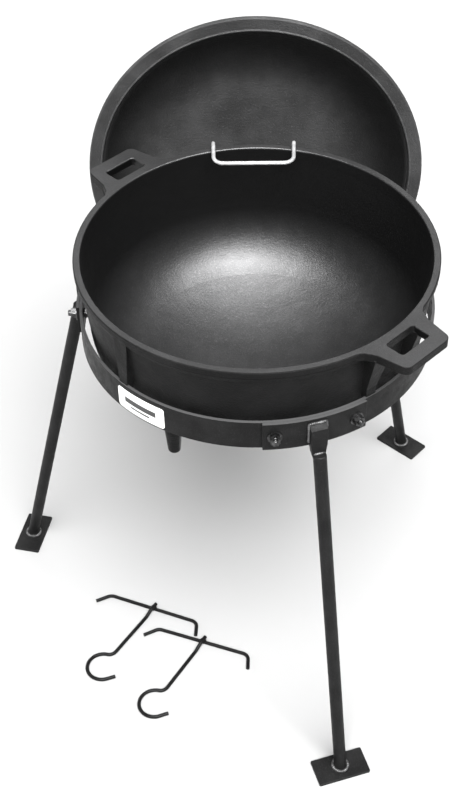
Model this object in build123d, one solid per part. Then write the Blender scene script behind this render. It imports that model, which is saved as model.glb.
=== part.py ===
from build123d import *
import math
import os

# Large cast iron dutch oven on a three-legged stand, its lid hung on the back of the
# pot's rim by the wire bail, and two T-handled lifting hooks lying on the floor.
# Millimetres, +Z up.  The origin is on the floor, on the pot's axis.  Angles round the
# axis are counted from the front (-Y), positive towards +X.

os.makedirs("parts", exist_ok=True)

# ---- pot -------------------------------------------------------------------------
RIM_R = 280.0            # outside of the rim
RIM_TOP = 774.0          # rim above the floor, pot resting in the stand
RIM_WIDTH = 11.0         # flat top of the rim
RIM_BAND = 9.5           # height of the rim's outer band
WALL = 5.0               # casting thickness
WALL_TOP_R = 273.0       # outside of the wall just under the rim
WALL_LOW_R = 264.0       # outside of the wall where the bowl's curve starts
BOWL_CURVE_R = 124.0     # outside radius of the curve from the wall to the bottom
BOWL_CURVE_Z = 665.0     # height of the centre of that curve
BOWL_TURN = 30.0         # slope where that curve meets the domed bottom

HANDLE_ANGLES = (45.0, 225.0)
HANDLE_OUT = 341.0       # outer edge from the axis
HANDLE_ROOT = 60.0       # half width where it leaves the rim
HANDLE_TIP = 47.0        # half width at the outer edge
HANDLE_THICK = 15.0
HOLE_IN = 285.0          # finger hole, inner and outer side from the axis
HOLE_OUT = 316.5
HOLE_HALF = 29.5
HOLE_CORNER = 5.0

RIB_ANGLES = (-45.5, 134.5)          # single lugs that sit on the ring
GUSSET_ANGLES = (36.5, 53.5, 216.5, 233.5)   # pairs under the handles
RIB_TOP_WIDTH = 29.0
RIB_FOOT_WIDTH = 15.0
RIB_FACE_R = 277.0
GUSSET_TOP_R = 296.0

PEG_ANGLES = (-45.5, 74.5, 194.5)    # short feet under the bowl
PEG_R = 187.0
PEG_TOP_Z = 575.0
PEG_FOOT_Z = 468.5
PEG_TOP_D = 38.0
PEG_FOOT_D = 20.0

# ---- stand -----------------------------------------------------------------------
RING_R = 278.5           # outside of the hoop
STRIP = 4.8              # thickness of the strip stock
RING_TOP = 676.0
RING_HEIGHT = 50.8
REST_GAP = 0.3           # between the pot's ribs and the hoop's top edge
SEAT_GAP = 0.2           # between the hoop and the straps bolted on it

LEG_ANGLES = {"front": 17.7, "back": 138.0, "left": -102.0}
STRAP_HALF_ANGLE = 16.4
BOLT_HALF_ANGLE = 12.8
BOLT_Z = RING_TOP - RING_HEIGHT / 2.0

LEG_D = 20.6
LEG_FLAT_WIDTH = 25.5
LEG_FLAT_THICK = 10.0
LEG_FLAT_TOP = 668.0
LEG_SHOULDER_Z = 613.0
LEG_TOP_R = 296.0        # leg axis from the pot's axis at the shoulder
FOOT_R = 448.0           # leg axis from the pot's axis at the floor
PLATE_TANGENT = 90.0
PLATE_RADIAL = 48.0
PLATE_THICK = 5.0

BOLT_D = 9.5
BOLT_HOLE_D = 10.4
BOLT_HEAD_AF = 14.3
BOLT_HEAD_H = 5.6
BOLT_END = 5.0           # thread standing proud of the nut
WASHER_D = 22.0
WASHER_H = 1.8
NUT_AF = 14.3
NUT_H = 8.3

LABEL_FROM = -47.8
LABEL_TO = -29.4
LABEL_HEIGHT = 39.0
LABEL_MID_Z = 648.0
LABEL_THICK = 0.8

# ---- lid -------------------------------------------------------------------------
LID_R = 284.7
LID_CENTRE = (0.0, 304.0, 696.0)     # middle of the flange's face as it hangs
LID_LEAN = 4.7                       # degrees off vertical, top leaning back
LID_FLANGE = 8.0                     # flange thickness
LID_WALL_R = 262.0                   # inside of the flange at its face
LID_LIP = 5.0                        # drop inside the flange before the dish starts
LID_DISH_R = 200.0                   # radius of the dish's curved edge
LID_DISH_FLAT_R = 140.0              # nearly flat middle of the dish
LID_DISH_CROWN = 2.0                 # how much deeper its centre is
LID_PLATE = 6.0
LID_SPIGOT_R = 262.0                 # ring under the lid that drops inside the rim
LID_SPIGOT_LOW = 27.0
LUG_X = 52.0                         # middle of each bail lug
LUG_WIDTH = 12.0
LUG_DEPTH = -13.0                    # bail pivot below the flange's face
WIRE_D = 6.35
BAIL_HALF = 66.5
BAIL_SHIFT = -3.0                    # slid sideways in its lugs
BAIL_CREST = (276.8, 781.0)          # y and z where the wire turns over the rim
BAIL_BAR = (224.5, 774.4)            # y and z of the cross bar inside the pot

# ---- hooks -----------------------------------------------------------------------
ROD_D = 6.35
HOOKS = {"a": (-194.0, -94.0, -21.2), "b": (-100.5, -169.5, -19.6)}   # x, y, turn
GRIP_HALF = 87.0
GRIP_END = 30.0
GRIP_BENDS = (46.0, 72.0)
SHANK_LEAN = 12.5
S_BEND_R = 14.0
LOOP_R = 27.5
LOOP_DOWN = 155.0        # middle of the loop along the shank
LOOP_END_ANGLE = -50.0
LOOP_TIP = 16.0


def place(angle, height=0.0):
    """Location at an angle round the pot's axis; local -Y points outwards."""
    return Location((0, 0, height), (0, 0, angle))


def save(shape, name):
    shape.label = name
    export_step(shape, "parts/" + name + ".step")


def ring_sector(inner, outer, bottom, top, angle, half_angle):
    """Piece of a hoop centred on an angle."""
    with BuildPart() as part:
        with BuildSketch(Plane.XZ):
            with Locations(((inner + outer) / 2, (bottom + top) / 2)):
                Rectangle(outer - inner, top - bottom)
        revolve(axis=Axis.Z, revolution_arc=2 * half_angle)
    first = part.part.bounding_box()
    # the sweep starts on +X; find which way it turned and bring its middle to -Y
    turn = 1.0 if first.max.Y > -first.min.Y else -1.0
    return Rot(0, 0, angle - 90.0 - turn * half_angle) * part.part


def bent_edges(points, bends):
    """Straight runs joined by arcs; bends[i] is the radius at points[i + 1]."""
    corners = [Vector(*p) for p in points]
    edges = []
    start = corners[0]
    for i in range(1, len(corners) - 1):
        radius = bends[i - 1]
        before = (corners[i - 1] - corners[i]).normalized()
        after = (corners[i + 1] - corners[i]).normalized()
        opening = math.acos(before.dot(after))
        reach = radius / math.tan(opening / 2)
        arc_start = corners[i] + before * reach
        arc_end = corners[i] + after * reach
        towards = (before + after).normalized()
        middle = corners[i] + towards * (radius / math.sin(opening / 2) - radius)
        edges.append(Line(start, arc_start))
        edges.append(ThreePointArc(arc_start, middle, arc_end))
        start = arc_end
    edges.append(Line(start, corners[-1]))
    return edges


def rod_along(edges, diameter):
    """Round rod swept along joined edges."""
    path = Wire(edges)
    section = Plane(origin=path @ 0, z_dir=path % 0) * Circle(diameter / 2)
    return sweep(section, path=path)


def bent_rod(points, bends, diameter):
    return rod_along(bent_edges(points, bends), diameter)


# ---- pot -------------------------------------------------------------------------
def bowl_curve(inset):
    """Arcs from the wall's foot to the axis, a distance inside the outer surface."""
    turn = math.radians(BOWL_TURN)
    middle = (math.pi / 2 + turn) / 2
    curve_r = BOWL_CURVE_R - inset
    centre = WALL_LOW_R - BOWL_CURVE_R
    dome_r = (centre + BOWL_CURVE_R * math.sin(turn)) / math.sin(turn) - inset
    dome_z = BOWL_CURVE_Z + (dome_r - curve_r) * math.cos(turn)

    def on_curve(angle):
        return (centre + curve_r * math.sin(angle), BOWL_CURVE_Z - curve_r * math.cos(angle))

    def on_dome(angle):
        return (dome_r * math.sin(angle), dome_z - dome_r * math.cos(angle))

    ThreePointArc(on_curve(math.pi / 2), on_curve(middle), on_curve(turn))
    ThreePointArc(on_curve(turn), on_dome(turn / 2), on_dome(0))
    return on_dome(0)


def pot_bowl():
    """Bowl and rim turned in one piece."""
    rim_in = RIM_R - RIM_WIDTH
    with BuildPart() as bowl:
        with BuildSketch(Plane.XZ):
            with BuildLine():
                outer_bottom = bowl_curve(0)
                inner_bottom = bowl_curve(WALL)
                Polyline(
                    (WALL_LOW_R, BOWL_CURVE_Z),
                    (WALL_TOP_R, RIM_TOP - 24.0),
                    (RIM_R - 2.5, RIM_TOP - RIM_BAND - 5.0),
                    (RIM_R - 2.5, RIM_TOP - RIM_BAND - 1.2),
                    (RIM_R, RIM_TOP - RIM_BAND),
                    (RIM_R, RIM_TOP - 1.5),
                    (RIM_R - 1.5, RIM_TOP),
                    (rim_in + 1.0, RIM_TOP),
                    (rim_in, RIM_TOP - 1.0),
                    (WALL_TOP_R - WALL, RIM_TOP - 24.0),
                    (WALL_LOW_R - WALL, BOWL_CURVE_Z),
                )
                Line(outer_bottom, inner_bottom)
            make_face()
        revolve(axis=Axis.Z)
    return bowl.part


def bowl_room():
    """Everything inside the wall's mid thickness, used to trim handles and ribs."""
    inset = WALL / 2
    with BuildPart() as room:
        with BuildSketch(Plane.XZ):
            with BuildLine():
                bottom = bowl_curve(inset)
                Polyline(
                    (WALL_LOW_R - inset, BOWL_CURVE_Z),
                    (WALL_TOP_R - inset, RIM_TOP - 24.0),
                    (RIM_R - RIM_WIDTH / 2, RIM_TOP - 8.0),
                    (RIM_R - RIM_WIDTH / 2, RIM_TOP + 5.0),
                    (0, RIM_TOP + 5.0),
                    bottom,
                )
            make_face()
        revolve(axis=Axis.Z)
    return room.part


def handle_plate():
    """Loop handle, flush with the rim, pointing along -Y."""
    with BuildPart() as plate:
        with BuildSketch(Plane.XY.offset(RIM_TOP - HANDLE_THICK)):
            with BuildLine():
                Polyline(
                    (-HANDLE_ROOT - 22.0, -262.0),
                    (-HANDLE_ROOT - 4.0, -276.0),
                    (-HANDLE_ROOT + 4.5, -292.0),
                    (-HANDLE_TIP, -HANDLE_OUT),
                    (HANDLE_TIP, -HANDLE_OUT),
                    (HANDLE_ROOT - 4.5, -292.0),
                    (HANDLE_ROOT + 4.0, -276.0),
                    (HANDLE_ROOT + 22.0, -262.0),
                    close=True,
                )
            outline = make_face()
            tips = [v for v in outline.vertices() if v.Y < -HANDLE_OUT + 1.0]
            fillet(tips, 13.0)
            with Locations((0, -(HOLE_IN + HOLE_OUT) / 2)):
                RectangleRounded(2 * HOLE_HALF, HOLE_OUT - HOLE_IN, HOLE_CORNER, mode=Mode.SUBTRACT)
        extrude(amount=HANDLE_THICK)
        top_edges = plate.edges().filter_by(Plane.XY).group_by(Axis.Z)[-1]
        bottom_edges = plate.edges().filter_by(Plane.XY).group_by(Axis.Z)[0]
        chamfer(top_edges, 1.0)
        chamfer(bottom_edges, 1.5)
    return plate.part


def rib(face_top, face_foot):
    """Tapered rib under the rim along -Y; its foot stands on the hoop."""
    top = RIM_TOP - RIM_BAND - 1.0
    foot = RING_TOP + REST_GAP
    step_r = RING_R - STRIP - 1.0
    with BuildPart() as body:
        with BuildSketch(Plane.XZ.offset(0)):
            Polygon(
                (-RIB_TOP_WIDTH / 2, top),
                (RIB_TOP_WIDTH / 2, top),
                (RIB_FOOT_WIDTH / 2, foot - 7.0),
                (-RIB_FOOT_WIDTH / 2, foot - 7.0),
                align=None,
            )
        extrude(amount=face_top + 5.0)
        with BuildSketch(Plane.YZ):
            Polygon(
                (-240.0, top + 1.0),
                (-face_top, top + 1.0),
                (-face_top, top - 6.0),
                (-face_foot, foot + 14.0),
                (-face_foot, foot),
                (-step_r, foot),
                (-step_r + 1.0, foot - 7.0),
                (-240.0, foot - 7.0),
                align=None,
            )
        extrude(amount=RIB_TOP_WIDTH, both=True, mode=Mode.INTERSECT)
    return body.part


def peg():
    """Short tapered foot with a rounded end, along -Y."""
    with BuildPart() as body:
        with BuildSketch(Plane.XY.offset(PEG_FOOT_Z)):
            Circle(PEG_FOOT_D / 2)
        with BuildSketch(Plane.XY.offset(PEG_TOP_Z)):
            Circle(PEG_TOP_D / 2)
        loft()
        fillet(body.edges().group_by(Axis.Z)[0], 5.0)
    return Pos(0, -PEG_R, 0) * body.part


def pot_casting():
    extras = []
    for angle in HANDLE_ANGLES:
        extras.append(place(angle) * handle_plate())
    for angle in RIB_ANGLES:
        extras.append(place(angle) * rib(RIB_FACE_R, RIB_FACE_R))
    for angle in GUSSET_ANGLES:
        extras.append(place(angle) * rib(GUSSET_TOP_R, RIB_FACE_R))
    for angle in PEG_ANGLES:
        extras.append(place(angle) * peg())
    room = bowl_room()
    pot = pot_bowl()
    for extra in extras:
        pot = pot + (extra - room)
    return pot


# ---- stand -----------------------------------------------------------------------
def bolt_angles():
    angles = []
    for centre in LEG_ANGLES.values():
        angles.append(centre - BOLT_HALF_ANGLE)
        angles.append(centre + BOLT_HALF_ANGLE)
    return angles


def radial_cylinder(angle, diameter, r_from, r_to, height):
    """Cylinder lying along a radius."""
    rod = Cylinder(diameter / 2, r_to - r_from, align=(Align.CENTER, Align.CENTER, Align.MIN))
    return place(angle) * (Pos(0, -r_from, height) * (Rot(90, 0, 0) * rod))


def radial_hexagon(angle, across_flats, r_from, r_to, height):
    """Hexagonal prism lying along a radius, corners lightly turned off."""
    hexagon = RegularPolygon(across_flats / 2, 6, major_radius=False, rotation=30)
    prism = extrude(hexagon, r_to - r_from)
    across_corners = across_flats / math.cos(math.pi / 6)
    turned = Cylinder(
        across_corners / 2, r_to - r_from, align=(Align.CENTER, Align.CENTER, Align.MIN)
    )
    turned = chamfer(turned.edges().group_by(Axis.Z)[-1], 1.0)
    body = prism & turned
    return place(angle) * (Pos(0, -r_from, height) * (Rot(90, 0, 0) * body))


def stand_ring():
    hoop = ring_sector(RING_R - STRIP, RING_R, RING_TOP - RING_HEIGHT, RING_TOP, 0.0, 180.0)
    for angle in bolt_angles():
        hoop = hoop - radial_cylinder(angle, BOLT_HOLE_D, 260.0, 290.0, BOLT_Z)
    return hoop


def strap_inner():
    return RING_R + SEAT_GAP


def strap_outer():
    return strap_inner() + STRIP


def leg_strap(centre):
    strap = ring_sector(
        strap_inner(), strap_outer(), RING_TOP - RING_HEIGHT, RING_TOP, centre, STRAP_HALF_ANGLE
    )
    for side in (-1, 1):
        angle = centre + side * BOLT_HALF_ANGLE
        strap = strap - radial_cylinder(angle, BOLT_HOLE_D, 260.0, 295.0, BOLT_Z)
    return strap


def leg(centre):
    """Bar with a forged flat end on the strap and a round run down to the foot plate."""
    inside = strap_outer()
    flat_front = inside + LEG_FLAT_THICK
    lean = math.atan2(FOOT_R - LEG_TOP_R, LEG_SHOULDER_Z - PLATE_THICK)
    foot_r = FOOT_R - PLATE_THICK * math.tan(lean)
    length = math.hypot(foot_r - LEG_TOP_R, LEG_SHOULDER_Z - PLATE_THICK)
    tail_z = LEG_SHOULDER_Z - 26.0
    tail_r = LEG_TOP_R + 26.0 * math.tan(lean)
    with BuildPart() as flat:
        with BuildSketch(Plane.XZ.offset(inside - 8.0)):
            Polygon(
                (-LEG_FLAT_WIDTH / 2, LEG_FLAT_TOP),
                (LEG_FLAT_WIDTH / 2, LEG_FLAT_TOP),
                (LEG_FLAT_WIDTH / 2, LEG_SHOULDER_Z + 16.0),
                (LEG_D / 2, LEG_SHOULDER_Z - 2.0),
                (LEG_D / 4, tail_z),
                (-LEG_D / 4, tail_z),
                (-LEG_D / 2, LEG_SHOULDER_Z - 2.0),
                (-LEG_FLAT_WIDTH / 2, LEG_SHOULDER_Z + 16.0),
                align=None,
            )
        extrude(amount=LEG_FLAT_THICK + 8.0)
        with BuildSketch(Plane.YZ):
            Polygon(
                (-inside + 9.0, LEG_FLAT_TOP + 1.0),
                (-inside, LEG_FLAT_TOP),
                (-flat_front, LEG_FLAT_TOP - 7.0),
                (-flat_front, LEG_SHOULDER_Z),
                (-tail_r, tail_z),
                (-tail_r + LEG_D / 4, tail_z),
                (-inside - 1.0, LEG_SHOULDER_Z),
                (-inside + 9.0, LEG_SHOULDER_Z + 14.0),
                align=None,
            )
        extrude(amount=LEG_FLAT_WIDTH, both=True, mode=Mode.INTERSECT)
    seat = Cylinder(inside + 0.05, 200, align=(Align.CENTER, Align.CENTER, Align.CENTER))
    head = flat.part - Pos(0, 0, LEG_SHOULDER_Z) * seat
    bar = Cylinder(LEG_D / 2, length + 20.0, align=(Align.CENTER, Align.CENTER, Align.MAX))
    bar = chamfer(bar.edges().group_by(Axis.Z)[-1], 1.2)
    bar = Pos(0, -LEG_TOP_R, LEG_SHOULDER_Z) * (Rot(-math.degrees(lean), 0, 0) * bar)
    below = Box(1200, 1200, 100, align=(Align.CENTER, Align.CENTER, Align.MAX))
    bar = bar - Pos(0, 0, PLATE_THICK) * below
    weld = Cone(LEG_D / 2 + 4.5, LEG_D / 2 - 1.0, 6.0, align=(Align.CENTER, Align.CENTER, Align.MIN))
    weld = Pos(0, -foot_r, PLATE_THICK) * weld
    return place(centre) * (head + bar + weld)


def foot_plate(centre):
    plate = Box(
        PLATE_TANGENT, PLATE_RADIAL, PLATE_THICK, align=(Align.CENTER, Align.CENTER, Align.MIN)
    )
    plate = fillet(plate.edges().filter_by(Axis.Z), 2.5)
    plate = chamfer(plate.faces().sort_by(Axis.Z)[-1].edges(), 0.6)
    return place(centre) * (Pos(0, -FOOT_R, 0) * plate)


def strap_fasteners(centre):
    """The two bolts, washers and nuts of one strap, as three groups."""
    ring_in = RING_R - STRIP
    washer_in = strap_outer() + 0.15
    washer_out = washer_in + WASHER_H
    nut_in = washer_out + 0.1
    nut_out = nut_in + NUT_H
    bolts = []
    washers = []
    nuts = []
    for side in (-1, 1):
        angle = centre + side * BOLT_HALF_ANGLE
        head_face = ring_in - 0.4
        head = radial_hexagon(angle, BOLT_HEAD_AF, head_face - BOLT_HEAD_H, head_face, BOLT_Z)
        shank = radial_cylinder(angle, BOLT_D, head_face - 1.0, nut_out + BOLT_END, BOLT_Z)
        shank = chamfer(shank.edges().filter_by(GeomType.CIRCLE), 0.9)
        bolts.append(head + shank)
        washer = radial_cylinder(angle, WASHER_D, washer_in, washer_out, BOLT_Z)
        washers.append(washer - radial_cylinder(angle, BOLT_HOLE_D, 270.0, 310.0, BOLT_Z))
        nut = radial_hexagon(angle, NUT_AF, nut_in, nut_out, BOLT_Z)
        nuts.append(nut - radial_cylinder(angle, BOLT_D + 0.3, 270.0, 310.0, BOLT_Z))
    return Compound(bolts), Compound(washers), Compound(nuts)


def ring_label():
    """Sticker with rounded corners on the hoop."""
    middle = (LABEL_FROM + LABEL_TO) / 2
    half = (LABEL_TO - LABEL_FROM) / 2
    inner = RING_R + 0.1
    shell = ring_sector(
        inner,
        inner + LABEL_THICK,
        LABEL_MID_Z - LABEL_HEIGHT / 2,
        LABEL_MID_Z + LABEL_HEIGHT / 2,
        0.0,
        half,
    )
    width = 2 * (inner + LABEL_THICK) * math.sin(math.radians(half))
    with BuildPart() as cutter:
        with BuildSketch(Plane.XZ.offset(240.0)):
            with Locations((0, LABEL_MID_Z)):
                RectangleRounded(width, LABEL_HEIGHT, 5.0)
        extrude(amount=60.0)
    return place(middle) * (shell & cutter.part)


# ---- lid -------------------------------------------------------------------------
def hang(shape):
    """Lid frame (face +Z, top of the hung lid +Y) to its place behind the pot."""
    return Location(LID_CENTRE, (90.0 - LID_LEAN, 0, 0)) * shape


def cap_arc(edge_r, edge_z, middle_z):
    """Shallow arc from the axis to an edge, its centre on the axis."""
    rise = edge_z - middle_z
    radius = (edge_r**2 + rise**2) / (2 * rise)
    half_r = edge_r / 2
    half_z = middle_z + radius - math.sqrt(radius**2 - half_r**2)
    return ThreePointArc((0, middle_z), (half_r, half_z), (edge_r, edge_z))


def dish_curve(radius, flat_z, edge_r):
    """Curved edge of the dish, level where it meets the flat middle."""
    sweep_angle = math.asin((edge_r - LID_DISH_FLAT_R) / radius)

    def on_curve(angle):
        return (LID_DISH_FLAT_R + radius * math.sin(angle), flat_z + radius * (1 - math.cos(angle)))

    ThreePointArc(on_curve(0), on_curve(sweep_angle / 2), on_curve(sweep_angle))
    return on_curve(sweep_angle)


def dish_floor():
    """Height of the dish's flat middle below the flange's face."""
    run = LID_WALL_R - 7.0 - LID_DISH_FLAT_R
    return -LID_LIP - (LID_DISH_R - math.sqrt(LID_DISH_R**2 - run**2))


def lid_casting():
    floor = dish_floor()
    under = floor - LID_PLATE
    with BuildPart() as lid:
        with BuildSketch(Plane.XZ):
            with BuildLine():
                cap_arc(LID_DISH_FLAT_R, floor, floor - LID_DISH_CROWN)
                dish_edge = dish_curve(LID_DISH_R, floor, LID_WALL_R - 7.0)
                under_edge = dish_curve(LID_DISH_R + LID_PLATE, under, LID_SPIGOT_R - 12.0)
                Polyline(
                    dish_edge,
                    (LID_WALL_R - 2.0, -LID_LIP + 1.0),
                    (LID_WALL_R, 0),
                    (LID_WALL_R + 0.8, 1.8),
                    (LID_WALL_R + 2.2, 1.8),
                    (LID_WALL_R + 3.0, 0.2),
                    (LID_R - 2.0, 0.2),
                    (LID_R, -1.8),
                    (LID_R, -LID_FLANGE + 1.0),
                    (LID_R - 1.0, -LID_FLANGE),
                    (LID_SPIGOT_R, -LID_FLANGE),
                    (LID_SPIGOT_R, -LID_SPIGOT_LOW + 1.5),
                    (LID_SPIGOT_R - 1.5, -LID_SPIGOT_LOW),
                    (LID_SPIGOT_R - 7.0, -LID_SPIGOT_LOW),
                    under_edge,
                )
                cap_arc(LID_DISH_FLAT_R, under, under - LID_DISH_CROWN)
                Line((0, under - LID_DISH_CROWN), (0, floor - LID_DISH_CROWN))
            make_face()
        revolve(axis=Axis.Z)
    body = lid.part
    for side in (-1, 1):
        body = body + Pos(side * LUG_X, 0, 0) * bail_lug()
    return hang(body)


def bail_lug():
    """Rounded eye that one end of the bail turns in."""
    with BuildPart() as lug:
        with BuildSketch(Plane.YZ.offset(-LUG_WIDTH / 2)):
            with Locations((0, LUG_DEPTH)):
                Circle(8.0)
            Polygon(
                (-8.0, LUG_DEPTH),
                (8.0, LUG_DEPTH),
                (13.0, dish_floor() - LID_PLATE / 2),
                (-13.0, dish_floor() - LID_PLATE / 2),
                align=None,
            )
            with Locations((0, LUG_DEPTH)):
                Circle(WIRE_D / 2 + 0.1, mode=Mode.SUBTRACT)
        extrude(amount=LUG_WIDTH)
    return lug.part


def lid_bail():
    """Wire bail: ends in the lugs, legs over the pot's rim, bar inside the pot."""
    pivot = hang(Pos(0, 0, LUG_DEPTH) * Box(1, 1, 1)).center()
    end_x = LUG_X - LUG_WIDTH / 2 - 2.5
    leg_x = BAIL_HALF + 0.5
    bar_x = BAIL_HALF - 1.0
    points = [
        (end_x, pivot.Y, pivot.Z),
        (leg_x, pivot.Y, pivot.Z),
        (leg_x, *BAIL_CREST),
        (bar_x, *BAIL_BAR),
        (-bar_x, *BAIL_BAR),
        (-leg_x, *BAIL_CREST),
        (-leg_x, pivot.Y, pivot.Z),
        (-end_x, pivot.Y, pivot.Z),
    ]
    bail = bent_rod(points, (7.0, 9.0, 16.0, 16.0, 9.0, 7.0), WIRE_D)
    return Pos(BAIL_SHIFT, 0, 0) * bail


# ---- hooks -----------------------------------------------------------------------
def lay_hook(shape, name):
    x, y, turn = HOOKS[name]
    return Location((x, y, 0), (0, 0, turn)) * shape


def hook_grip():
    """Cross bar with both ends turned down towards the hook."""
    z = ROD_D / 2
    left, right = (math.radians(a) for a in GRIP_BENDS)
    points = [
        (-GRIP_HALF - GRIP_END * math.cos(left), -GRIP_END * math.sin(left), z),
        (-GRIP_HALF, 0, z),
        (GRIP_HALF, 0, z),
        (GRIP_HALF + GRIP_END * math.cos(right), -GRIP_END * math.sin(right), z),
    ]
    return bent_rod(points, (16.0, 14.0), ROD_D)


def hook_shank():
    """Shank laid over the grip at its top, S-bent at its foot into an open hook."""
    z = ROD_D / 2
    lift = ROD_D + 0.1
    level = Vector(0, 0, z)
    lean = math.radians(SHANK_LEAN)
    down = Vector(-math.sin(lean), -math.cos(lean), 0)
    side = Vector(down.Y, -down.X, 0)
    # the S-bend turns towards one side, then meets the loop whose middle is on the shank's line
    reach = math.sqrt((S_BEND_R + LOOP_R) ** 2 - S_BEND_R**2)
    s_start = down * (LOOP_DOWN - reach) + level
    s_centre = s_start + side * S_BEND_R
    loop_centre = down * LOOP_DOWN + level
    joint = s_centre + (loop_centre - s_centre) * (S_BEND_R / (S_BEND_R + LOOP_R))
    s_middle = s_centre + ((s_start - s_centre) + (joint - s_centre)).normalized() * S_BEND_R
    from_loop = joint - loop_centre
    first_angle = math.atan2(from_loop.Y, from_loop.X)
    last_angle = math.radians(LOOP_END_ANGLE) + 2 * math.pi
    half_angle = (first_angle + last_angle) / 2

    def on_loop(angle):
        return loop_centre + Vector(math.cos(angle), math.sin(angle), 0) * LOOP_R

    loop_end = on_loop(last_angle)
    tip = loop_end + Vector(-math.sin(last_angle), math.cos(last_angle), 0) * LOOP_TIP
    over_grip = [
        tuple(down * -8.0 + level + Vector(0, 0, lift)),
        tuple(down * 6.0 + level + Vector(0, 0, lift)),
        tuple(down * 24.0 + level),
        tuple(s_start),
    ]
    edges = bent_edges(over_grip, (10.0, 14.0))
    edges.append(ThreePointArc(s_start, s_middle, joint))
    edges.append(ThreePointArc(joint, on_loop(half_angle), loop_end))
    edges.append(Line(loop_end, tip))
    shank = rod_along(edges, ROD_D)
    weld = Pos(0, 0, z + lift / 2) * Sphere(ROD_D * 0.9)
    grip_room = Rot(0, 90, 0) * Cylinder(ROD_D / 2 + 0.1, 40.0)
    floor_room = Box(60, 60, 20, align=(Align.CENTER, Align.CENTER, Align.MAX))
    weld = weld - Pos(0, 0, z) * grip_room - Pos(0, 0, 1.0) * floor_room
    return shank + weld


if __name__ == "__main__":
    save(pot_casting(), "pot_casting")
    save(stand_ring(), "stand_ring")
    save(ring_label(), "ring_label")
    for name, centre in LEG_ANGLES.items():
        save(leg_strap(centre), "leg_strap_" + name)
        save(leg(centre), "leg_bar_" + name)
        save(foot_plate(centre), "foot_plate_" + name)
        bolts, washers, nuts = strap_fasteners(centre)
        save(bolts, "strap_bolts_" + name)
        save(washers, "strap_washers_" + name)
        save(nuts, "strap_nuts_" + name)
    save(lid_casting(), "lid_casting")
    save(lid_bail(), "lid_bail")
    for name in HOOKS:
        save(lay_hook(hook_grip(), name), "hook_" + name + "_grip")
        save(lay_hook(hook_shank(), name), "hook_" + name + "_shank")
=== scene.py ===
import math

import bmesh
import bpy
from mathutils import Matrix, Vector


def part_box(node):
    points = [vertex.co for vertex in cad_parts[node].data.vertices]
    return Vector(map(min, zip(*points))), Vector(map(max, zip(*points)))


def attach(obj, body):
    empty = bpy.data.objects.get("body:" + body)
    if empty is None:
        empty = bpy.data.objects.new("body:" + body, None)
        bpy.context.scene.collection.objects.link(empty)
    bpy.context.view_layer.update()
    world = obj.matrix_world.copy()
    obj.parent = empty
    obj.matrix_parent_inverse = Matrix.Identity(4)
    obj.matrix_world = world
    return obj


# Large cast iron dutch oven on its three-legged stand, lid hung on the back of the rim.
# Metres, +Z up, origin on the floor under the middle of the pot, front towards -Y.

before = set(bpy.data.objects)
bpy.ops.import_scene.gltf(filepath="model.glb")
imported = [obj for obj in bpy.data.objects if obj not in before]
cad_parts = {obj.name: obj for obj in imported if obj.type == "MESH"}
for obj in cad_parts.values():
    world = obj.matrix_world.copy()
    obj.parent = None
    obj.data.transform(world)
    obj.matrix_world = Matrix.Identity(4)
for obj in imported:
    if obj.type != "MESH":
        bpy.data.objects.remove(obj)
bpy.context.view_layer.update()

MM = 0.001

# ---- camera ----------------------------------------------------------------------
CAMERA_AT = (-0.0067, -1.6909, 2.0941)
CAMERA_PITCH = math.radians(44.16)     # below the horizon
CAMERA_YAW = math.radians(-1.20)
CAMERA_ROLL = math.radians(-1.23)
CAMERA_LENS = 63.0                     # mm on a 36 mm sensor

# ---- sizes taken from the frame --------------------------------------------------
POT_LOW, POT_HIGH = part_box("pot_casting")
RIM_TOP = POT_HIGH.z
RING_LOW, RING_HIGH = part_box("stand_ring")
RING_R = RING_HIGH.x
BOLT_Z = (RING_LOW.z + RING_HIGH.z) / 2

# ---- stand's layout, angles in degrees from the front --------------------------------
LEG_ANGLES = {"front": 17.7, "back": 138.0, "left": -102.0}
BOLT_HALF_ANGLE = 12.8
STRAP_OUT = RING_R + 5.0 * MM          # face of the leg straps
LEG_HEAD_HALF = 12.75 * MM
LEG_HEAD_LOW = 631.0 * MM
LEG_HEAD_TOP = 668.0 * MM
LEG_SHOULDER = 613.0 * MM
LEG_FOOT_R = 446.8 * MM
NUT_FACE = STRAP_OUT + 10.35 * MM

# ---- screw threads on the bolt ends -------------------------------------------------
THREAD_R = 4.62 * MM
THREAD_PITCH = 1.5 * MM
THREAD_TURNS = 2.6
THREAD_STEPS = 24                      # points in one turn
THREAD_CREST_R = 0.42 * MM
THREAD_START = NUT_FACE + 0.3 * MM

# ---- weld beads ----------------------------------------------------------------------
BEAD_STEP = 0.8 * MM
HEAD_BEAD_R = 2.3 * MM                 # round the flattened top of a leg
SHOULDER_BEAD_R = 1.9 * MM             # under it, where the round bar begins
SHOULDER_BEAD_HALF = 8.5 * MM
SHOULDER_BEAD_OUT = STRAP_OUT + 10.4 * MM
FOOT_BEAD_R = 2.4 * MM                 # round the leg's foot, on its plate
FOOT_BEAD_Z = 7.2 * MM
FOOT_BEAD_STEPS = 108
FOOT_BEAD_ACROSS = 12.6 * MM
FOOT_BEAD_OUT = 13.0 * MM
SEAM_BEAD_R = 1.6 * MM                 # where the hoop's strip was closed
SEAM_ANGLE = 165.0
SEAM_INSET = 1.5 * MM

# ---- sticker on the hoop -------------------------------------------------------------
LABEL_MIDDLE = math.radians(-38.6)
LABEL_HALF = math.radians(9.2)
LABEL_Z = 648.0 * MM
LABEL_HALF_HEIGHT = 19.5 * MM

# ---- floor and lights, metres --------------------------------------------------------
FLOOR_HALF = 14.0
FLOOR_DROP = 0.4 * MM                  # keeps it clear of the foot plates
FLOOR_GREY = 0.29
KEY_SPREAD = 48.0                      # degrees
KEY_STRENGTH = 11.0


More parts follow.
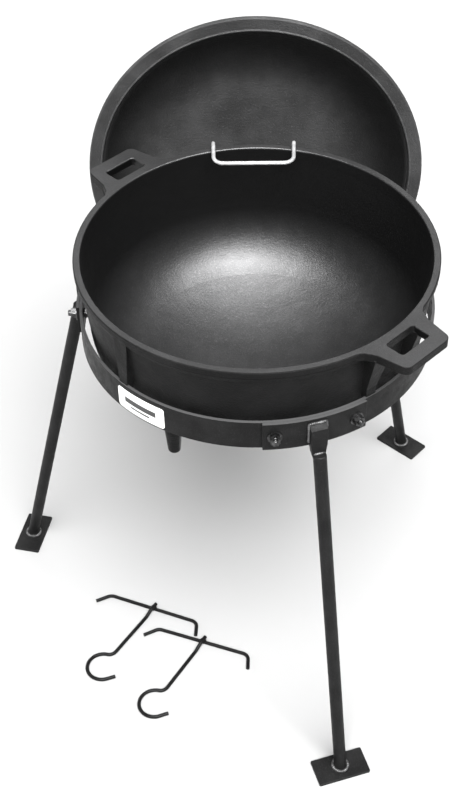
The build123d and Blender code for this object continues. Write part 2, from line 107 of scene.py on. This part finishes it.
class Nodes:
    """Material or world whose nodes are added and joined by one short call each."""

    def __init__(self, owner):
        owner.use_nodes = True
        self.owner = owner
        self.tree = owner.node_tree
        self.coords = self.add("ShaderNodeTexCoord")

    def add(self, kind, settings=None, **sockets):
        """New node; sockets take numbers or other nodes' outputs, _ stands for a space."""
        node = self.tree.nodes.new(kind)
        for name, value in (settings or {}).items():
            setattr(node, name, value)
        for name, value in sockets.items():
            self.plug(node, name.replace("_", " "), value)
        return node

    def plug(self, node, name, value):
        socket = node.inputs[int(name)] if name.isdigit() else node.inputs[name]
        if isinstance(value, bpy.types.NodeSocket):
            self.tree.links.new(value, socket)
        else:
            socket.default_value = value

    def finish(self, **sockets):
        """Sets the shader's own sockets, a number or a link each, and gives the material."""
        for name, value in sockets.items():
            self.plug(self.tree.nodes["Principled BSDF"], name.replace("_", " "), value)
        return self.owner

    def parts_of(self, output):
        """X, Y and Z of one of the coordinates: Object, Normal or Generated."""
        return self.add("ShaderNodeSeparateXYZ", Vector=self.coords.outputs[output]).outputs

    def math(self, operation, a, b=0.0, clamp=False):
        node = self.add("ShaderNodeMath", {"operation": operation, "use_clamp": clamp})
        self.plug(node, "0", a)
        self.plug(node, "1", b)
        return node.outputs[0]

    def ramp_value(self, value, low, high, to_low=0.0, to_high=1.0):
        """Smooth step of a value from one range to another."""
        node = self.add("ShaderNodeMapRange", {"interpolation_type": "SMOOTHSTEP"}, Value=value,
                        From_Min=low, From_Max=high, To_Min=to_low, To_Max=to_high)
        return node.outputs["Result"]

    def noise(self, scale, detail=3.0, roughness=0.55):
        node = self.add("ShaderNodeTexNoise", Vector=self.coords.outputs["Object"],
                        Scale=scale, Detail=detail, Roughness=roughness)
        return node.outputs["Fac"]

    def mix_colour(self, share, dark, light):
        node = self.add("ShaderNodeMix", {"data_type": "RGBA"})
        self.plug(node, "0", share)
        self.plug(node, "6", dark)
        self.plug(node, "7", light)
        return node.outputs[2]

    def bump(self, height, distance, strength=1.0, normal=None):
        node = self.add("ShaderNodeBump", Height=height, Distance=distance, Strength=strength)
        if normal is not None:
            self.plug(node, "Normal", normal)
        return node.outputs["Normal"]

    def edge_wear(self, radius, low, high):
        """1 along sharp edges, 0 on open faces, broken up by noise."""
        rounded = self.add("ShaderNodeBevel", {"samples": 6}, Radius=radius)
        flat = self.add("ShaderNodeNewGeometry")
        dot = self.add("ShaderNodeVectorMath", {"operation": "DOT_PRODUCT"})
        self.plug(dot, "0", rounded.outputs["Normal"])
        self.plug(dot, "1", flat.outputs["Normal"])
        bent = self.math("SUBTRACT", 1.0, dot.outputs["Value"])
        patches = self.ramp_value(self.noise(90.0), 0.3, 0.65, 0.35, 1.0)
        return self.ramp_value(self.math("MULTIPLY", bent, patches), low, high)


def new_material(name):
    return Nodes(bpy.data.materials.new(name))


def grey(value):
    """Very slightly cool grey."""
    return (value, value, value * 1.01, 1.0)


def cooking_side(n):
    """1 on the inside of the pot, 0 on its outside, in between on top of rim and handles."""
    place = n.parts_of("Object")
    facing = n.parts_of("Normal")
    across = n.math("MULTIPLY", place["X"], facing["X"])
    along = n.math("MULTIPLY", place["Y"], facing["Y"])
    outward = n.math("ADD", across, along)
    under_rim = n.ramp_value(place["Z"], RIM_TOP - 6 * MM, RIM_TOP - 1 * MM, 0.1, 0.014)
    upward = n.math("MULTIPLY", facing["Z"], under_rim)
    return n.ramp_value(n.math("SUBTRACT", upward, outward), 0.0, 0.03)


def painted_wall_shade(n):
    """0 on the bottom of the pot, 1 up its walls: painted shade, darkening the walls to dull
    black.
    """
    height = n.parts_of("Object")["Z"]
    climb = n.ramp_value(height, POT_LOW.z + 90 * MM, POT_LOW.z + 215 * MM)
    below_rim = n.ramp_value(height, RIM_TOP - 4 * MM, RIM_TOP - MM, 1.0, 0.0)
    return n.math("MULTIPLY", climb, below_rim)


def painted_dish_shade(n):
    """Painted shade: 0 in the middle of the lid's dish, 1 in the dark band just inside its
    flange, widest at the top and right.
    """
    low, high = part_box("lid_casting")
    middle = (low + high) / 2
    radius = (high.x - low.x) / 2

    def reach(centre):
        away = n.add("ShaderNodeVectorMath", {"operation": "DISTANCE"})
        n.plug(away, "0", n.coords.outputs["Object"])
        n.plug(away, "1", centre)
        return away.outputs["Value"]

    palest = middle + Vector((-16 * MM, 0, -10 * MM))
    band = n.ramp_value(reach(palest), radius * 0.48, radius * 0.88)
    flange = n.ramp_value(reach(middle), radius * 0.90, radius * 0.93, 1.0, 0.0)
    return n.math("MULTIPLY", band, flange)


def cast_iron(name, dark, light, rough_low, rough_high, shine, bare, painted_shade, smooth_side=None):
    """Seasoned casting: sandy grain, cloudy sheen and lighter, smoother edges.

    dark and light are the skin's greys, shine its specular level, and bare how metallic it is.
    The shade mask gives where painted shade darkens the skin to dull black, and smooth_side where
    it is worn smooth. With a smooth side, only that side is metallic and gets the painted shade.
    """
    n = new_material(name)
    cloud = n.noise(14.0, 4.0)
    speckle = n.noise(650.0, 2.0, 0.7)
    sand = n.noise(300.0, 5.0, 0.7)
    swell = n.noise(38.0, 2.0, 0.5)
    wear = n.edge_wear(1.6 * MM, 0.03, 0.22)
    base = n.mix_colour(n.ramp_value(cloud, 0.35, 0.7), grey(dark), grey(light))
    base = n.mix_colour(n.ramp_value(speckle, 0.60, 0.76, 0.0, 0.6), base, grey(light * 3.5))
    base = n.mix_colour(n.math("MULTIPLY", wear, 0.7), base, grey(light * 4.5))
    rough = n.ramp_value(n.noise(55.0, 5.0, 0.6), 0.3, 0.72, rough_low, rough_high)
    rough = n.math("SUBTRACT", rough, n.math("MULTIPLY", wear, 0.08))
    coarse = 0.9
    metal = bare
    if smooth_side:
        inside = smooth_side(n)
        coarse = n.ramp_value(inside, 0.0, 1.0, 1.0, 0.30)
        even = n.ramp_value(n.noise(55.0, 5.0, 0.6), 0.3, 0.72, 0.43, 0.47)
        rough = n.math("ADD", rough, n.math("MULTIPLY", inside, n.math("SUBTRACT", even, rough)))
        metal = n.math("MULTIPLY", inside, bare)
        polished = n.mix_colour(n.ramp_value(cloud, 0.35, 0.7), grey(0.066), grey(0.078))
        polished = n.mix_colour(n.ramp_value(speckle, 0.55, 0.75), polished, grey(0.14))
        base = n.mix_colour(inside, base, polished)
        # Painted shade: the inside walls darkened to near black.
        base = n.mix_colour(n.math("MULTIPLY", inside, painted_shade(n)), base, grey(0.020))
    else:
        # Painted shade: the masked part darkened to near black.
        base = n.mix_colour(n.math("MULTIPLY", painted_shade(n), 0.95), base, grey(0.001))
    rounded = n.add("ShaderNodeBevel", {"samples": 6}, Radius=1.2 * MM)
    surface = n.bump(swell, 1.2 * MM, 0.35, rounded.outputs["Normal"])
    surface = n.bump(sand, 1.6 * MM, coarse, surface)
    return n.finish(Base_Color=base, Roughness=rough, Normal=surface, Metallic=metal,
                    Specular_IOR_Level=shine)


def painted_top_highlight(n):
    """1 on the upward edge of the hoop and the leg straps, where a painted highlight makes the
    paint paler.
    """
    place = n.parts_of("Object")
    facing = n.parts_of("Normal")
    height = n.ramp_value(place["Z"], RING_HIGH.z - 2 * MM, RING_HIGH.z - MM)
    return n.math("MULTIPLY", height, n.ramp_value(facing["Z"], 0.7, 0.9))


def painted_steel(name, dark, light, rough_low, rough_high):
    """Black paint on rolled stock: thin orange peel, dusty patches, bare glints on edges, and a
    painted highlight along the top edges of the hoop and straps.
    """
    n = new_material(name)
    peel = n.noise(900.0, 2.0)
    dust = n.noise(22.0, 5.0, 0.6)
    wear = n.edge_wear(1.0 * MM, 0.05, 0.25)
    base = n.mix_colour(n.ramp_value(dust, 0.35, 0.75), grey(dark), grey(light))
    base = n.mix_colour(n.ramp_value(peel, 0.56, 0.74, 0.0, 0.6), base, grey(light * 4.0))
    base = n.mix_colour(n.math("MULTIPLY", wear, 0.6), base, grey(light * 6.0))
    # Painted highlight: the upward top edges of the hoop and straps made paler.
    base = n.mix_colour(painted_top_highlight(n), base, grey(0.050))
    rough = n.ramp_value(n.noise(70.0, 4.0), 0.3, 0.7, rough_low, rough_high)
    rounded = n.add("ShaderNodeBevel", {"samples": 6}, Radius=0.8 * MM)
    surface = n.bump(n.noise(60.0, 2.0), 0.5 * MM, 0.25, rounded.outputs["Normal"])
    surface = n.bump(peel, 0.30 * MM, 0.7, surface)
    return n.finish(Base_Color=base, Roughness=rough, Normal=surface, Specular_IOR_Level=0.10)


def plated_steel(name, tone, rough_low, rough_high):
    """Bolts, washers and nuts: dull plating, darker in blotches."""
    n = new_material(name)
    blotch = n.noise(160.0, 4.0)
    base = n.mix_colour(n.ramp_value(blotch, 0.35, 0.7), grey(tone * 0.35), grey(tone))
    rough = n.ramp_value(n.noise(400.0, 3.0), 0.3, 0.7, rough_low, rough_high)
    surface = n.bump(n.noise(700.0, 3.0), 0.15 * MM, 0.5)
    return n.finish(Base_Color=base, Roughness=rough, Normal=surface, Metallic=0.9)


def bright_wire(name):
    """Bright plated wire, hazy in patches and very finely rough."""
    n = new_material(name)
    haze = n.noise(120.0, 4.0)
    base = n.mix_colour(n.ramp_value(haze, 0.3, 0.7), grey(0.40), grey(0.58))
    rough = n.ramp_value(n.noise(300.0, 3.0), 0.3, 0.7, 0.34, 0.46)
    surface = n.bump(n.noise(800.0, 2.0), 0.03 * MM, 0.4)
    return n.finish(Base_Color=base, Roughness=rough, Normal=surface, Metallic=0.55)


def bar_mask(n, across, up, half_width, half_height, middle_up=0.0):
    """1 inside a plain bar on the sticker, measured in half widths and half heights."""
    side = n.math("ABSOLUTE", across)
    rise = n.math("ABSOLUTE", n.math("SUBTRACT", up, middle_up))
    wide = n.ramp_value(side, half_width, half_width + 0.02, 1.0, 0.0)
    tall = n.ramp_value(rise, half_height, half_height + 0.05, 1.0, 0.0)
    return n.math("MULTIPLY", wide, tall)


def white_sticker(name):
    """White film, faintly yellowed, with two plain printed bars."""
    n = new_material(name)
    stain = n.noise(45.0, 4.0)
    clean = (0.86, 0.86, 0.85, 1)
    yellowed = (0.74, 0.74, 0.72, 1)
    base = n.mix_colour(n.ramp_value(stain, 0.4, 0.75), clean, yellowed)
    place = n.parts_of("Object")
    front = n.math("MULTIPLY", place["Y"], -1.0)
    angle = n.math("ARCTAN2", place["X"], front)
    across = n.math("DIVIDE", n.math("SUBTRACT", angle, LABEL_MIDDLE), LABEL_HALF)
    up = n.math("DIVIDE", n.math("SUBTRACT", place["Z"], LABEL_Z), LABEL_HALF_HEIGHT)
    thick_bar = bar_mask(n, across, up, 0.66, 0.24, 0.08)
    thin_bar = bar_mask(n, across, up, 0.40, 0.07, -0.48)
    ink = n.math("ADD", thick_bar, thin_bar, clamp=True)
    base = n.mix_colour(ink, base, grey(0.03))
    rough = n.ramp_value(n.noise(200.0, 3.0), 0.3, 0.7, 0.28, 0.45)
    surface = n.bump(n.noise(140.0, 2.0), 0.2 * MM, 0.3)
    return n.finish(Base_Color=base, Roughness=rough, Normal=surface)


def weld_metal(name):
    """Painted weld: glossy crests, paint rubbed thin on the ripples."""
    n = new_material(name)
    patch = n.noise(90.0, 4.0, 0.6)
    base = n.mix_colour(n.ramp_value(patch, 0.35, 0.7), grey(0.03), grey(0.11))
    rough = n.ramp_value(n.noise(300.0, 3.0), 0.3, 0.7, 0.26, 0.42)
    surface = n.bump(n.noise(600.0, 3.0), 0.15 * MM, 0.5)
    return n.finish(Base_Color=base, Roughness=rough, Normal=surface, Metallic=0.4)


def give(material, slot, *names):
    """Puts a material on CAD nodes. The slot argument is not used."""
    for name in names:
        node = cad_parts[name]
        node.data.materials.clear()
        node.data.materials.append(material)


def nodes_named(prefix):
    return sorted(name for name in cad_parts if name.startswith(prefix))


def paint_frame():
    pot_iron = cast_iron("pot_iron", dark=0.0025, light=0.006, rough_low=0.47, rough_high=0.58,
                         shine=0.12, bare=0.93, painted_shade=painted_wall_shade, smooth_side=cooking_side)
    give(pot_iron, "seasoned_cast_iron", "pot_casting")
    lid_iron = cast_iron("lid_iron", dark=0.024, light=0.041, rough_low=0.44, rough_high=0.56,
                         shine=0.25, bare=0.3, painted_shade=painted_dish_shade)
    give(lid_iron, "lid_cast_iron", "lid_casting")
    black = painted_steel("stand_paint", dark=0.005, light=0.010, rough_low=0.38, rough_high=0.52)
    for prefix in ("stand_ring", "leg_strap_", "leg_bar_", "foot_plate_"):
        give(black, "stand_black", *nodes_named(prefix))
    hooks = painted_steel("hook_paint", dark=0.003, light=0.006, rough_low=0.30, rough_high=0.42)
    give(hooks, "hook_black", *nodes_named("hook_"))
    plated = plated_steel("fastener_plate", tone=0.10, rough_low=0.24, rough_high=0.40)
    for prefix in ("strap_bolts_", "strap_washers_", "strap_nuts_"):
        give(plated, "fastener_steel", *nodes_named(prefix))
    give(bright_wire("bail_wire"), "bail_wire", "lid_bail")
    give(white_sticker("label_film"), "label_white", "ring_label")


def tube_mesh(name, path, radius_at, sides=10, closed=False):
    """Tube round a path of points; radius_at(i) gives its radius at each one."""
    bm = bmesh.new()
    rings = []
    count = len(path)
    for i, point in enumerate(path):
        before = path[i - 1] if i > 0 or closed else point
        after = path[(i + 1) % count] if i < count - 1 or closed else point
        along = (after - before).normalized()
        side = along.cross(Vector((point.x, point.y, 0.0)).normalized()).normalized()
        other = along.cross(side)
        ring = []
        for k in range(sides):
            turn = 2 * math.pi * k / sides
            offset = side * math.cos(turn) + other * math.sin(turn)
            ring.append(bm.verts.new(point + offset * radius_at(i)))
        rings.append(ring)
    for i in range(count if closed else count - 1):
        low, high = rings[i], rings[(i + 1) % count]
        for k in range(sides):
            bm.faces.new((low[k], low[(k + 1) % sides], high[(k + 1) % sides], high[k]))
    if not closed:
        bm.faces.new(rings[0][::-1])
        bm.faces.new(rings[-1])
    bmesh.ops.recalc_face_normals(bm, faces=bm.faces)
    for face in bm.faces:
        face.smooth = True
    mesh = bpy.data.meshes.new(name)
    bm.to_mesh(mesh)
    bm.free()
    return mesh


def at_leg(angle, across, radius, height):
    """World point from a leg's own directions: across it, out from the axis, up."""
    turn = math.radians(angle)
    return Vector((
        across * math.cos(turn) + radius * math.sin(turn),
        across * math.sin(turn) - radius * math.cos(turn),
        height,
    ))


def walk(corners, step):
    """Points a step apart along straight runs."""
    points = []
    for start, end in zip(corners, corners[1:]):
        pieces = max(1, round((end - start).length / step))
        for i in range(pieces):
            points.append(start.lerp(end, i / pieces))
    points.append(corners[-1])
    return points


def add_piece(name, mesh, material, body):
    piece = bpy.data.objects.new(name, mesh)
    bpy.context.scene.collection.objects.link(piece)
    mesh.materials.append(material)
    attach(piece, body)


def weld_bead(name, corners, radius, material, closed=False):
    """Rippled bead laid along a path, thinner at its ends unless it closes on itself."""
    path = corners if closed else walk(corners, BEAD_STEP)
    last = len(path) - 1

    def radius_at(i):
        ripple = 1.0 + 0.14 * math.cos(2 * math.pi * i / 4)
        drift = 1.0 + 0.10 * math.sin(i * 0.37)
        ends = 1.0 if closed else min(1.0, 0.35 + 0.2 * min(i, last - i))
        return radius * ripple * drift * ends

    mesh = tube_mesh(name, path, radius_at, closed=closed)
    add_piece(name, mesh, material, "stand")


def make_welds():
    material = weld_metal("weld_paint")
    side = LEG_HEAD_HALF + 0.6 * MM
    seat = STRAP_OUT + 0.8 * MM
    for leg_name, angle in LEG_ANGLES.items():
        head = [
            at_leg(angle, -side, seat, LEG_HEAD_LOW),
            at_leg(angle, -side, seat, LEG_HEAD_TOP),
            at_leg(angle, side, seat, LEG_HEAD_TOP),
            at_leg(angle, side, seat, LEG_HEAD_LOW),
        ]
        weld_bead("weld_head_" + leg_name, head, HEAD_BEAD_R, material)
        ledge_z = LEG_SHOULDER + 0.4 * MM
        ledge = [
            at_leg(angle, -SHOULDER_BEAD_HALF, SHOULDER_BEAD_OUT, ledge_z),
            at_leg(angle, SHOULDER_BEAD_HALF, SHOULDER_BEAD_OUT, ledge_z),
        ]
        weld_bead("weld_shoulder_" + leg_name, ledge, SHOULDER_BEAD_R, material)
        foot = []
        for i in range(FOOT_BEAD_STEPS):
            turn = 2 * math.pi * i / FOOT_BEAD_STEPS
            across = FOOT_BEAD_ACROSS * math.cos(turn)
            out = LEG_FOOT_R + FOOT_BEAD_OUT * math.sin(turn)
            foot.append(at_leg(angle, across, out, FOOT_BEAD_Z))
        weld_bead("weld_foot_" + leg_name, foot, FOOT_BEAD_R, material, closed=True)
    seam = [
        at_leg(SEAM_ANGLE, 0.0, RING_R, RING_LOW.z + SEAM_INSET),
        at_leg(SEAM_ANGLE, 0.0, RING_R, RING_HIGH.z - SEAM_INSET),
    ]
    weld_bead("weld_hoop_seam", seam, SEAM_BEAD_R, material)


def make_threads():
    """Screw thread on the bolt ends that stand out of the nuts."""
    material = plated_steel("thread_plate", tone=0.16, rough_low=0.22, rough_high=0.36)
    for leg_name, centre in LEG_ANGLES.items():
        for mark, side in (("a", -1), ("b", 1)):
            angle = centre + side * BOLT_HALF_ANGLE
            path = []
            for i in range(int(THREAD_TURNS * THREAD_STEPS)):
                turn = 2 * math.pi * i / THREAD_STEPS
                out = THREAD_START + THREAD_PITCH * i / THREAD_STEPS
                across = THREAD_R * math.cos(turn)
                path.append(at_leg(angle, across, out, BOLT_Z + THREAD_R * math.sin(turn)))
            name = "thread_" + leg_name + "_" + mark
            mesh = tube_mesh(name, path, lambda i: THREAD_CREST_R, sides=6)
            add_piece(name, mesh, material, "stand")


def make_floor():
    mesh = bpy.data.meshes.new("floor")
    signs = ((-1, -1), (1, -1), (1, 1), (-1, 1))
    corners = [(x * FLOOR_HALF, y * FLOOR_HALF, 0) for x, y in signs]
    mesh.from_pydata(corners, [], [(0, 1, 2, 3)])
    floor = bpy.data.objects.new("floor", mesh)
    floor.location.z = -FLOOR_DROP
    bpy.context.scene.collection.objects.link(floor)
    n = new_material("floor_paper")
    colour = (FLOOR_GREY, FLOOR_GREY, FLOOR_GREY, 1.0)
    mesh.materials.append(n.finish(Base_Color=colour, Roughness=0.9))


def add_light(name, kind, at, towards, energy):
    """Light aimed from one point at another; gives its data, for its size to be set."""
    data = bpy.data.lights.new(name, kind)
    data.energy = energy
    light = bpy.data.objects.new(name, data)
    bpy.context.scene.collection.objects.link(light)
    light.location = at
    light.rotation_euler = (Vector(towards) - Vector(at)).to_track_quat("-Z", "Y").to_euler()
    return data


def softbox(name, at, towards, width, height, watts):
    data = add_light(name, "AREA", at, towards, watts)
    data.shape = "RECTANGLE"
    data.size = width
    data.size_y = height


def make_lights():
    rim = (0.0, 0.0, RIM_TOP)
    stand = (0.0, 0.0, 0.6)
    lid = (0.0, 0.34, 0.85)
    # A very wide sun, so the floor is lit evenly all the way out.
    key = add_light("key_sky", "SUN", (0.15, -0.75, 2.25), (0.0, 0.15, 0.6), KEY_STRENGTH)
    key.angle = math.radians(KEY_SPREAD)
    softbox("back_softbox", (0.1, 2.3, 2.9), rim, width=2.2, height=1.3, watts=56.0)
    softbox("front_fill", (1.05, -0.75, 2.75), lid, width=0.8, height=0.8, watts=34.0)
    softbox("left_softbox", (-2.4, -0.4, 0.9), stand, width=1.0, height=1.4, watts=22.0)


def make_world():
    """Studio surroundings: bright low down and brighter on the left, dim overhead."""
    world = bpy.data.worlds.new("studio")
    n = Nodes(world)
    place = n.parts_of("Generated")
    low = n.ramp_value(place["Z"], 0.10, 0.45, 1.0, 0.06)
    left = n.ramp_value(place["X"], -0.75, 0.1, 0.95, 0.55)
    background = n.tree.nodes["Background"]
    n.plug(background, "Color", (1, 1, 1, 1))
    n.plug(background, "Strength", n.math("MULTIPLY", low, left))
    bpy.context.scene.world = world
    bpy.context.scene.view_settings.view_transform = "Standard"


def make_camera():
    forward = Vector((
        math.sin(CAMERA_YAW) * math.cos(CAMERA_PITCH),
        math.cos(CAMERA_YAW) * math.cos(CAMERA_PITCH),
        -math.sin(CAMERA_PITCH),
    ))
    level = Vector((math.cos(CAMERA_YAW), -math.sin(CAMERA_YAW), 0.0))
    above = level.cross(forward)
    right = level * math.cos(CAMERA_ROLL) + above * math.sin(CAMERA_ROLL)
    up = above * math.cos(CAMERA_ROLL) - level * math.sin(CAMERA_ROLL)
    data = bpy.data.cameras.new("camera")
    data.lens = CAMERA_LENS
    data.sensor_width = 36.0
    camera = bpy.data.objects.new("camera", data)
    bpy.context.scene.collection.objects.link(camera)
    turn = Matrix((right, up, -forward)).transposed()
    camera.matrix_world = Matrix.Translation(CAMERA_AT) @ turn.to_4x4()
    bpy.context.scene.camera = camera


paint_frame()
make_welds()
make_threads()
make_floor()
make_lights()
make_world()
make_camera()
